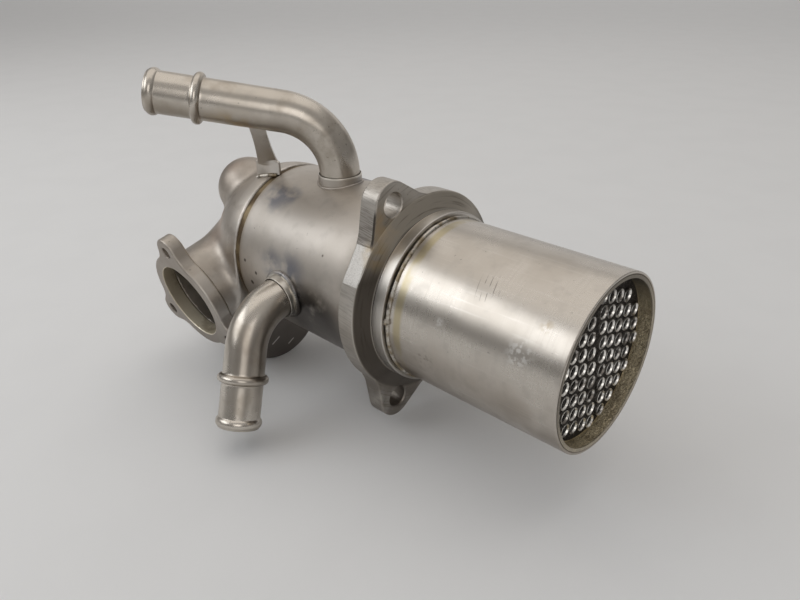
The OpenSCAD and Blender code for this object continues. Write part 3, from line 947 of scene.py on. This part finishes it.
def can_finish():
    f = steel("polished_can", (0.565, 0.525, 0.475), 0.27, 0.5, 0.003)
    # Turning marks round the can, drawing marks along it and shallow dents
    turned = f.noise(1.0, 3, f.vector(f.times(f.x, 1.7), f.times(f.angle, 1.3), 0.0))
    f.layer((0.5, 0.46, 0.41), 0.36, f.fade(turned, 0.48, 0.72), 0.35)
    f.swell(turned, 0.006)
    drawn = f.noise(1.0, 2, f.vector(f.times(f.x, 0.03), f.times(f.angle, 26.0), 3.0))
    f.layer((0.66, 0.63, 0.59), 0.24, f.fade(drawn, 0.55, 0.75), 0.3)
    f.swell(f.noise(0.028, 2), 0.5)
    # Gold band in front of the weld, painted shade in the crevice at the weld, and brown bore
    gold = f.times(f.band(f.x, -81.7, 3.0, 1.2), f.clouds(0.09, 3, 0.3, 0.6))
    f.layer((0.46, 0.39, 0.22), 0.3, gold, 0.7)
    f.layer((0.03, 0.026, 0.022), 0.7, f.fade(f.x, -87.5, -88.0))
    f.layer((0.17, 0.14, 0.1), 0.6, f.fade(f.r, 39.3, 38.7))
    # Fine dark lines, two pale scuffs, a brown and a dark stain, and painted shade in brown clouds on the
    # lower side
    lines = f.fade(f.math("PINGPONG", f.math("ADD", f.x, f.times(f.z, 0.3)), 1.3), 0.22, 0.05)
    lines = f.times(lines, f.near((-43, -26, 30.6), 5.5, 3), f.clouds(0.22, 2, 0.42, 0.52))
    f.layer((0.13, 0.11, 0.1), 0.5, lines, 0.85)
    pale = (0.8, 0.78, 0.75)
    front_scuff = f.times(f.near((-19.5, -37.3, 14.3), 5, 3), f.clouds(0.5, 4, 0.48, 0.6))
    f.layer(pale, 0.42, front_scuff, 0.7)
    rear_scuff = f.times(f.near((-59, -37.6, 13.7), 1.7, 1.2), f.clouds(0.9, 3, 0.4, 0.58))
    f.layer(pale, 0.4, rear_scuff, 0.7)
    brown_stain = f.times(f.near((-12.7, -30, 26.4), 2.2, 2.0), f.clouds(0.6, 3, 0.42, 0.6))
    f.layer((0.38, 0.3, 0.19), 0.4, brown_stain, 0.5)
    dark_stain = f.times(f.near((-66, -39.1, -8.3), 5, 4), f.clouds(0.4, 4, 0.48, 0.66))
    f.layer((0.18, 0.155, 0.13), 0.45, dark_stain, 0.6)
    shaded_lower_side = f.times(f.fade(f.z, 8.0, -22.0), f.clouds(0.04, 5, 0.28, 0.58))
    f.layer((0.33, 0.285, 0.24), 0.33, shaded_lower_side, 0.75)
    return f.done()


def flange_finish():
    f = steel("machined_flange", (0.5, 0.47, 0.43), 0.38, 0.45, 0.03)
    front = f.fade(f.x, EAR_FACE - 0.5, EAR_FACE - 0.1)
    edge = f.fade(f.x, EAR_FACE - 0.4, EAR_FACE - 1.0)
    # Milling marks across the plate's edge, darker beside the upper ear
    slanted = f.math("ADD", f.times(f.z, 2.0), f.times(f.x, 0.3))
    milled = f.noise(1.0, 2, f.vector(f.times(f.x, 0.08), f.times(f.y, 2.0), slanted))
    ear_side = f.near((-104, -33, 41.5), 9.5, 2.5)
    f.layer((0.3, 0.275, 0.25), 0.42, edge, ear_side, 0.6)
    cuts = f.times(edge, f.fade(milled, 0.48, 0.6))
    f.layer((0.25, 0.225, 0.2), 0.48, cuts, 0.35)
    f.layer((0.2, 0.18, 0.16), 0.48, cuts, ear_side, 0.55)
    f.swell(f.times(edge, milled), 0.06)
    # Turned cone with painted shade on its lower part, and turned front
    ringed = f.noise(1.0, 4, f.vector(f.times(f.r, 1.1), f.times(f.angle, 2.2), 0.0))
    cone = f.times(front, f.fade(f.r, 42.2, 43.0), f.fade(f.r, 51.5, 49.5))
    f.layer((0.46, 0.415, 0.35), 0.4, cone, 0.9)
    f.layer((0.16, 0.135, 0.11), 0.5, front, f.fade(ringed, 0.52, 0.7), 0.6)
    f.layer((0.05, 0.041, 0.034), 0.36, cone, f.fade(f.z, 36.0, 20.0), 0.9)
    # Collar, with painted shade in the groove behind it and a painted highlight on its rear edge
    collar = f.times(f.fade(f.x, -94.9, -94.7), f.fade(f.r, 43.2, 42.8))
    f.layer((0.6, 0.57, 0.53), 0.3, collar, 0.8)
    f.layer((0.36, 0.33, 0.29), 0.38, collar, f.fade(ringed, 0.5, 0.75), 0.5)
    groove_shade = f.times(f.band(f.x, -94.85, 0.3, 0.15), f.fade(f.r, 42.45, 42.2))
    f.layer((0.05, 0.045, 0.04), 0.6, groove_shade)
    collar_edge_highlight = f.times(f.band(f.x, -94.35, 0.5, 0.25), f.fade(f.r, 42.2, 42.35))
    f.layer((0.78, 0.75, 0.71), 0.22, collar_edge_highlight, 0.8)
    # Blasted pad on the edge
    lean = f.math("ADD", f.times(f.y, math.cos(PAD_ANGLE)), f.times(f.z, math.sin(PAD_ANGLE)))
    side = f.math("SUBTRACT", f.times(f.z, math.cos(PAD_ANGLE)), f.times(f.y, math.sin(PAD_ANGLE)))
    pad = f.times(f.band(lean, PAD_REACH, 0.3, 0.1), f.band(side, 0.0, PAD_HALF + 0.2, PAD_HALF - 0.1))
    pebble = f.noise(2.0, 3)
    f.layer((0.62, 0.6, 0.57), 0.46, pad)
    f.layer((0.42, 0.4, 0.37), 0.55, pad, f.fade(pebble, 0.46, 0.64), 0.6)
    f.swell(f.times(pad, pebble), 0.12)
    # Sandy and gold stains near the upper ear, painted shade on the lower side, dark lip of the upper ear
    stain = f.clouds(0.14, 4, 0.35, 0.62)
    f.layer((0.6, 0.49, 0.35), 0.4, front, f.near((EAR_FACE, -29.5, 43.5), 7, 5), stain, 0.85)
    f.layer((0.42, 0.3, 0.14), 0.4, f.near((-97, -36.5, 32.6), 6, 4), stain, 0.55)
    shaded_lower_side = f.times(f.fade(f.z, -12.0, -46.0), f.clouds(0.07, 4, 0.25, 0.55))
    f.layer((0.17, 0.15, 0.13), 0.42, shaded_lower_side, 0.75)
    lip = f.band(f.x, EAR_FACE - 0.55, 0.6, 0.35)
    f.layer((0.04, 0.034, 0.028), 0.5, lip, f.near((EAR_FACE, -33, 42.5), 8, 2), 0.9)
    return f.done()


def jacket_finish():
    f = steel("satin_jacket", (0.56, 0.52, 0.475), 0.42, 0.45, 0.012)
    f.swell(f.noise(0.022, 2), 0.35)
    # Blue heat tint round the strap and the necks
    blue = f.clouds(0.1, 4, 0.36, 0.6)
    for point, reach, soft in (
            ((-181, -23.5, 37.5), 9, 6), ((-171, -22, 38.5), 4, 4), ((-166, -43.2, 9.5), 6, 5),
            ((-151, -43.3, 9.0), 8, 6), ((-158.5, 10, 43), 12, 6), ((-142, -42, -2), 6, 5)):
        f.layer((0.21, 0.215, 0.25), 0.38, f.near(point, reach, soft), blue, 0.85)
    # Black clouds low on the side, brown grime at the flange, tint at the rear edge, painted shade on the
    # lower side
    black_clouds = f.times(f.near((-137, -41, -17), 25, 12), f.clouds(0.08, 5, 0.16, 0.44))
    f.layer((0.03, 0.027, 0.025), 0.34, black_clouds, 0.95)
    flange_grime = f.times(f.fade(f.x, -121.0, -109.5), f.clouds(0.07, 5, 0.38, 0.6))
    f.layer((0.25, 0.215, 0.18), 0.45, flange_grime, 0.55)
    f.layer((0.33, 0.27, 0.2), 0.4, f.fade(f.x, -190.5, -193.5), 0.55)
    f.layer((0.24, 0.21, 0.185), 0.4, f.fade(f.z, 2.0, -34.0), 0.6)
    # Necks: painted highlight towards the top, painted shade in the gap round the pipe
    for x, out_dir, highlight_from in ((UPPER_X, UP, NECK_TOP - 1.1), (LOWER_X, LOWER_DIR, NECK_TOP - 4.2)):
        s, w = f.height_along(x * AXIS, out_dir)
        rim = f.times(f.fade(s, highlight_from, highlight_from + 0.6), f.fade(w, NECK_R + 1.5, NECK_R + 0.5))
        f.layer((0.76, 0.72, 0.65), 0.27, rim, 0.8)
        gap = f.times(f.fade(s, NECK_TOP - 0.5, NECK_TOP - 0.2), f.fade(w, PIPE_R + 0.6, PIPE_R + 0.35))
        f.layer((0.05, 0.04, 0.03), 0.6, gap)
    # Painted shade at the lower neck's foot, and a few pits
    shaded = LOWER_X * AXIS + 45 * LOWER_DIR + 12 * np.array([0.55, 0, -0.83])
    f.layer((0.07, 0.06, 0.052), 0.42, f.near(shaded, 8, 6), 0.85)
    for point, reach in (
            ((-188.3, -44, 5), 0.8), ((-184.2, -43.8, -6.7), 1.2),
            ((-179.1, -44.3, 0.4), 0.9), ((-131, -38, 22.5), 0.5)):
        f.layer((0.06, 0.045, 0.035), 0.6, f.near(point, reach, 0.5), 0.9)
    return f.done()


def header_finish():
    f = steel("satin_header", (0.53, 0.485, 0.435), 0.42, 0.5, 0.03)
    # Rust-coloured tint on boss and dome
    rust = f.clouds(0.06, 5, 0.42, 0.62)
    for point, reach, soft in (((-236, -14, 40), 12, 9), ((-224, -38, 14), 11, 9), ((-205, -30, 30), 8, 8)):
        f.layer((0.5, 0.37, 0.29), 0.45, f.near(point, reach, soft), rust, 0.5)
    # Painted sheen on a band and a painted highlight on the edge at the front, dull clouds, painted shade on
    # the underside and pocket front, darker boss
    f.layer((0.62, 0.58, 0.53), 0.36, f.fade(f.x, -207.5, -205.5), f.fade(f.x, -198.8, -200.5), 0.4)
    f.layer((0.7, 0.67, 0.63), 0.3, f.fade(f.x, -201.0, -198.6), 0.5)
    f.layer((0.33, 0.29, 0.25), 0.48, f.clouds(0.1, 5, 0.5, 0.68), 0.45)
    f.layer((0.2, 0.18, 0.16), 0.45, f.fade(f.z, -18.0, -60.0), 0.6)
    f.layer((0.15, 0.135, 0.125), 0.3, f.fade(f.x, -199.6, -198.4), f.fade(f.z, -38.0, -44.0), 0.8)
    f.layer((0.34, 0.29, 0.25), 0.48, f.near((-234, -9, 34), 16, 7), 0.6)
    # Two painted highlight lines on the pocket's front
    for start, length in (((HOOD_FRONT, -26.9, -59.6), 7.2), ((HOOD_FRONT, -15.3, -64.3), 5.6)):
        s, w = f.height_along(start, (0, 0.88, 0.475))
        highlight_line = f.times(f.fade(w, 0.55, 0.2), f.fade(s, 0.0, 0.8), f.fade(s, length, length - 0.8))
        f.layer((0.75, 0.72, 0.68), 0.3, highlight_line, 0.9)
    # Darker face of the gas flange, sandy bore with brown clouds, painted shade in the chamber behind it
    s, w = f.height_along(PORT_ROOT, PORT_DIR)
    f.layer((0.3, 0.265, 0.23), 0.45, f.fade(s, PORT_REACH - 0.5, PORT_REACH - 0.2), 0.6)
    inside = f.times(f.fade(w, 23.2, 22.9), f.fade(s, 20.0, 26.0))
    f.layer((0.9, 0.84, 0.7), 0.45, inside)
    f.layer((0.4, 0.33, 0.22), 0.5, inside, f.clouds(0.12, 5, 0.48, 0.66), 0.6)
    f.layer((0.34, 0.27, 0.19), 0.5, inside, f.fade(f.x, PORT_X - 10, PORT_X - 21), 0.5)
    chamber = f.near(DOME, 42.9, 0.4)
    f.layer((0.075, 0.062, 0.045), 0.65, f.fade(w, 23.0, 22.6), f.fade(s, 42.0, 27.0), chamber)
    return f.done()


def pipe_finish():
    f = steel("bright_pipe", (0.62, 0.575, 0.515), 0.26, 0.5, 0.003)
    f.swell(f.noise(0.05, 2), 0.12)
    f.layer((0.36, 0.31, 0.25), 0.4, f.clouds(0.075, 5, 0.5, 0.68), 0.5)
    # Painted shade on the pipes' undersides
    f.layer((0.2, 0.17, 0.135), 0.34, f.under, 0.55)
    # Upper pipe: brown clouds and dark specks on the bend, gold tint under the run
    upper_bend = (-160, -6, 66)
    bend_clouds = f.times(f.near(upper_bend, 14, 9), f.clouds(0.12, 5, 0.42, 0.66))
    f.layer((0.24, 0.2, 0.155), 0.36, bend_clouds, 0.45)
    bend_specks = f.times(f.near(upper_bend, 13, 6), f.clouds(0.9, 2, 0.68, 0.73))
    f.layer((0.1, 0.08, 0.065), 0.6, bend_specks, 0.75)
    gold = f.times(f.near((-193, -36, 79), 11, 7), f.under, f.clouds(0.12, 4, 0.35, 0.6))
    f.layer((0.42, 0.31, 0.17), 0.36, gold, 0.7)
    # Lower pipe: painted shade on one flank, and dark specks on the bend
    f.layer((0.24, 0.205, 0.17), 0.3, f.near((-140, -72, -22), 14, 10), 0.6)
    specks = f.times(f.near((-163, -62, -6), 8, 6), f.clouds(0.8, 2, 0.6, 0.66))
    f.layer((0.08, 0.065, 0.05), 0.6, specks, 0.9)
    return f.done()


def lining_finish():
    f = Finish("pipe_lining", (0.2, 0.175, 0.145), 0.5)
    f.layer((0.09, 0.07, 0.05), 0.7, f.clouds(0.2, 5, 0.4, 0.65))
    return f.done()


def soot_finish():
    f = Finish("sooty_plate", (0.035, 0.03, 0.026), 0.7, 0.9)
    crust = f.noise(0.9, 5)
    f.layer((0.14, 0.12, 0.1), 0.6, f.fade(crust, 0.55, 0.72))
    f.swell(crust, 0.5)
    # Sandy wall of the cup, pale only on its lit side as painted light, with brown clouds and dark specks,
    # and a paler rim
    lit = f.math("ADD", f.times(f.y, 0.5), f.times(f.z, -0.86))
    wall = f.times(f.fade(f.r, 36.4, 37.0), f.fade(lit, -22.0, 22.0))
    f.layer((0.78, 0.68, 0.48), 0.42, wall, 0.9)
    f.layer((0.26, 0.21, 0.14), 0.5, wall, f.clouds(0.2, 5, 0.46, 0.64), 0.6)
    f.layer((0.12, 0.1, 0.075), 0.6, wall, f.clouds(2.2, 4, 0.5, 0.62), 0.75)
    f.layer((0.4, 0.36, 0.3), 0.4, f.fade(f.x, -1.0, -0.2), 0.6)
    return f.done()


def tube_finish():
    f = Finish("gas_tube", (0.88, 0.86, 0.82), 0.28)
    f.layer((0.12, 0.1, 0.085), 0.5, f.clouds(0.28, 4, 0.48, 0.64), 0.85)
    # Painted shade deep inside the tubes
    f.layer((0.02, 0.017, 0.015), 0.8, f.fade(f.x, -6.2, -7.4))
    f.swell(f.noise(1.5, 2), 0.06)
    return f.done()


def groove_finish():
    f = Finish("tinted_plate", (0.28, 0.22, 0.135), 0.42)
    f.layer((0.13, 0.095, 0.06), 0.55, f.clouds(0.09, 5, 0.42, 0.62))
    f.swell(f.noise(0.8, 3), 0.05)
    return f.done()


def weld_finish():
    f = Finish("weld", (0.56, 0.53, 0.48), 0.28)
    f.layer((0.3, 0.245, 0.17), 0.4, f.clouds(0.15, 4, 0.45, 0.62))
    f.layer((0.11, 0.095, 0.08), 0.5, f.clouds(0.5, 3, 0.56, 0.66), 0.8)
    f.swell(f.noise(1.6, 2), 0.06)
    return f.done()


def dress(objects, *materials):
    for obj in objects:
        obj.data.materials.clear()
        for material in materials:
            obj.data.materials.append(material)


soot = soot_finish()
dress([can], can_finish())
dress([flange, nose], flange_finish())
dress([jacket, *necks], jacket_finish())
dress([upper_pipe, lower_pipe], pipe_finish(), lining_finish())
dress([header, gas_flange, bracket], header_finish())
dress([can_weld, can_weld_end, gas_weld, *foot_welds], weld_finish())
dress([bundle], tube_finish(), soot)
dress([nodes["front_tube_plate"]], soot)
dress([nodes["rear_tube_plate"], nodes["coolant_divider"]], groove_finish())

# Stage: floor, sky and lamps, in metres
FLOOR_SIZE = 30
bpy.ops.mesh.primitive_plane_add(size=FLOOR_SIZE, location=(0, 0, cad_box[0][2]))
floor = bpy.context.object
floor.name = "floor"
paper = Finish("floor", (0.8, 0.81, 0.82), 0.8, 0.0)
paper.layer((0.76, 0.77, 0.78), None, paper.clouds(0.02, 4, 0.4, 0.65), 0.25)
floor.data.materials.append(paper.done())


def light_sky(colour, horizon, top, top_at):
    """Sky that brightens from the horizon up to the height top_at."""
    world = bpy.data.worlds.new("studio")
    scene.world = world
    world.use_nodes = True
    tree = world.node_tree
    sky = tree.nodes["Background"]
    sky.inputs["Color"].default_value = (*colour, 1)
    coords = tree.nodes.new("ShaderNodeTexCoord")
    split = tree.nodes.new("ShaderNodeSeparateXYZ")
    strength = tree.nodes.new("ShaderNodeMapRange")
    set_range(strength, 0.0, top_at, horizon, top)
    tree.links.new(coords.outputs["Generated"], split.inputs[0])
    tree.links.new(split.outputs["Z"], strength.inputs["Value"])
    tree.links.new(strength.outputs[0], sky.inputs["Strength"])


def area(name, where, target, size, size_y, glow, colour):
    """Soft panel; glow is the brightness of its surface."""
    light = bpy.data.lights.new(name, "AREA")
    light.shape = "RECTANGLE"
    light.size = size
    light.size_y = size_y
    light.energy = glow * math.pi * size * size_y
    light.color = colour
    obj = linked(name, light)
    obj.location = where
    obj.rotation_euler = (Vector(target) - Vector(where)).to_track_quat("-Z", "Y").to_euler()


WARM = (1.0, 0.97, 0.94)
MIDDLE = (-0.1, 0, 0)
light_sky(WARM, 0.16, 0.44, 0.8)
area("window", (-0.82, -0.93, 0.78), MIDDLE, 1.1, 0.7, 1.85, (0.96, 0.98, 1.0))
area("ceiling", (-0.45, 0.25, 1.3), MIDDLE, 2.0, 1.8, 0.5, (1.0, 0.95, 0.89))
area("wall", (-2.1, 3.0, 0.9), MIDDLE, 4.8, 1.8, 0.42, WARM)
area("fill", (0.85, -0.8, 0.62), (-0.05, 0, 0), 0.8, 0.8, 1.2, WARM)

# Camera at the photo's angle
CAMERA_AT = (0.10374, -0.23045, 0.15833)
CAMERA_RIGHT = (0.72737, 0.68605, -0.01623)
CAMERA_ABOVE = (-0.31168, 0.35133, 0.88285)
CAMERA_BACK = (0.61138, -0.63710, 0.46937)
lens = bpy.data.cameras.new("camera")
lens.sensor_width = 36
lens.lens = 31.41
lens.clip_start = 0.01
camera = linked("camera", lens)
camera.matrix_world = Matrix((*zip(CAMERA_RIGHT, CAMERA_ABOVE, CAMERA_BACK, CAMERA_AT), (0, 0, 0, 1)))
scene.camera = camera
scene.view_settings.view_transform = "Standard"
